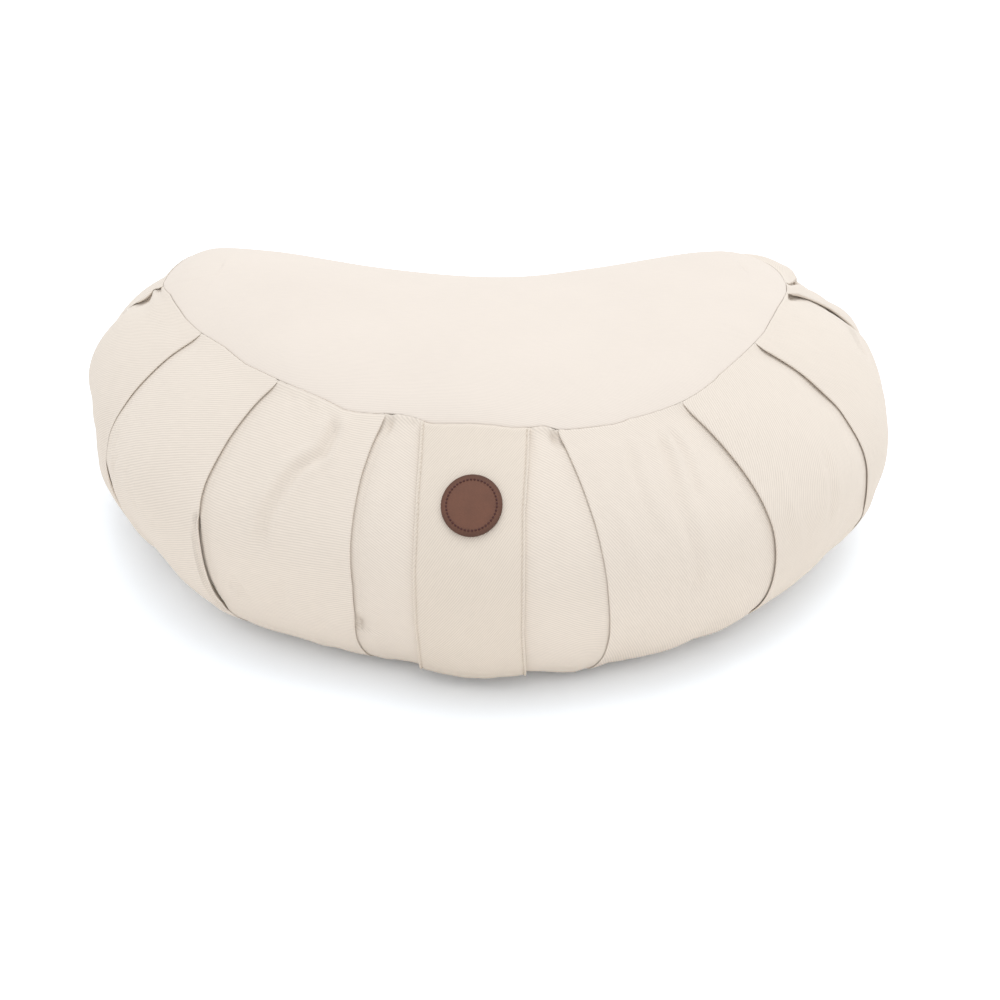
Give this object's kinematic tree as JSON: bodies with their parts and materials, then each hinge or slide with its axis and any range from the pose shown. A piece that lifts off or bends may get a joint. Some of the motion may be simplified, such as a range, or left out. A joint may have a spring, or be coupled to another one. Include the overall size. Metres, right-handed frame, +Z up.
{
  "type": "crescent meditation cushion",
  "caption": "Filled cotton meditation cushion with a crescent top and base, a pleated bulging side wall, a sewn-on front band and a round leather badge.",
  "frame": {"origin": "on the floor, under the middle of the cushion's width and depth", "axes": "+X along the width from horn to horn, +Y from the front with the band towards the hollow inner curve, +Z up"},
  "size_m": [0.4495, 0.3404, 0.1472],
  "materials": {
    "twill": "matte natural cotton twill",
    "leather": "smooth brown leather with a cut edge"
  },
  "bodies": {
    "root": {"filled_wall": "twill", "top_panel": "twill", "base_panel": "twill", "front_band": "twill", "leather_patch": "leather"}
  },
  "joints": []
}
